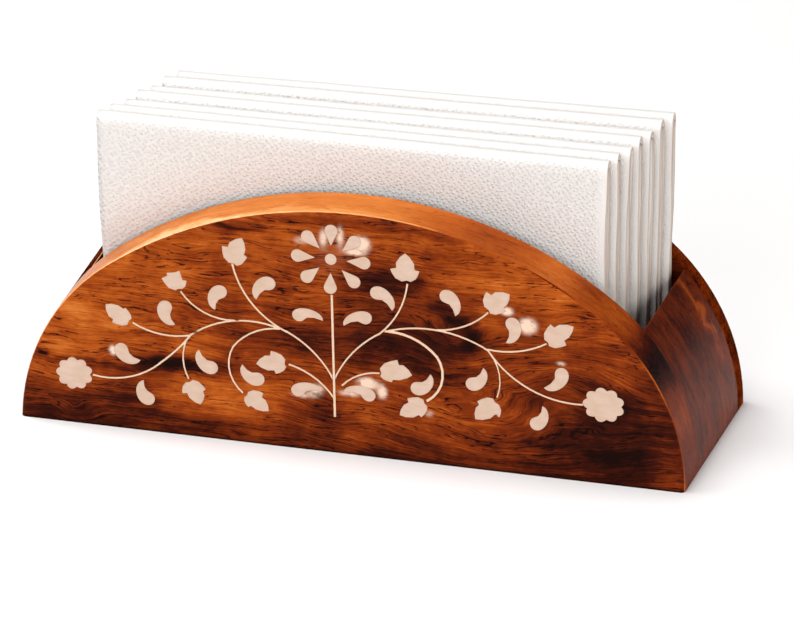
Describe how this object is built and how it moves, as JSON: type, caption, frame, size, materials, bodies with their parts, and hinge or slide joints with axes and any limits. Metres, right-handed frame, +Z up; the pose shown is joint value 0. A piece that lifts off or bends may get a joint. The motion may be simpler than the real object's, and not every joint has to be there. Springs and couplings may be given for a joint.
{
  "type": "napkin holder",
  "caption": "Half-moon wooden napkin holder with a floral vine inlaid in its face, and a stack of folded white paper napkins standing in its open slot.",
  "frame": {"origin": "on the table plane, under the middle of the holder's length and depth", "axes": "+X along the length, to the right when the inlaid face is seen; -Y is the inlaid front; +Z up"},
  "size_m": [0.206, 0.073, 0.0943],
  "materials": {
    "sheesham": "satin",
    "dowel_wood": "matte",
    "inlay": "satin",
    "napkin_paper": "matte"
  },
  "bodies": {
    "holder": {"front_panel": "sheesham", "back_panel": "sheesham", "left_end_block": "sheesham", "right_end_block": "sheesham", "base_board": "sheesham", "front_dowels": "dowel_wood", "back_dowels": "dowel_wood", "base_dowels": "dowel_wood", "flower_petals": "inlay", "flower_centre": "inlay", "centre_stem": "inlay", "left_vines": "inlay", "right_vines": "inlay", "left_leaves": "inlay", "right_leaves": "inlay", "left_buds": "inlay", "right_buds": "inlay", "left_rosette": "inlay", "right_rosette": "inlay"},
    "napkin_01": {"napkin_01": "napkin_paper"},
    "napkin_02": {"napkin_02": "napkin_paper"},
    "napkin_03": {"napkin_03": "napkin_paper"},
    "napkin_04": {"napkin_04": "napkin_paper"},
    "napkin_05": {"napkin_05": "napkin_paper"},
    "napkin_06": {"napkin_06": "napkin_paper"},
    "napkin_07": {"napkin_07": "napkin_paper"}
  },
  "joints": [
    {"name": "lift_01", "type": "slide", "parent": "holder", "child": "napkin_01", "axis": [0, 0, 1], "range_m": [0, 0.085]},
    {"name": "lift_02", "type": "slide", "parent": "holder", "child": "napkin_02", "axis": [0, 0, 1], "range_m": [0, 0.085]},
    {"name": "lift_03", "type": "slide", "parent": "holder", "child": "napkin_03", "axis": [0, 0, 1], "range_m": [0, 0.085]},
    {"name": "lift_04", "type": "slide", "parent": "holder", "child": "napkin_04", "axis": [0, 0, 1], "range_m": [0, 0.085]},
    {"name": "lift_05", "type": "slide", "parent": "holder", "child": "napkin_05", "axis": [0, 0, 1], "range_m": [0, 0.085]},
    {"name": "lift_06", "type": "slide", "parent": "holder", "child": "napkin_06", "axis": [0, 0, 1], "range_m": [0, 0.085]},
    {"name": "lift_07", "type": "slide", "parent": "holder", "child": "napkin_07", "axis": [0, 0, 1], "range_m": [0, 0.085]}
  ]
}
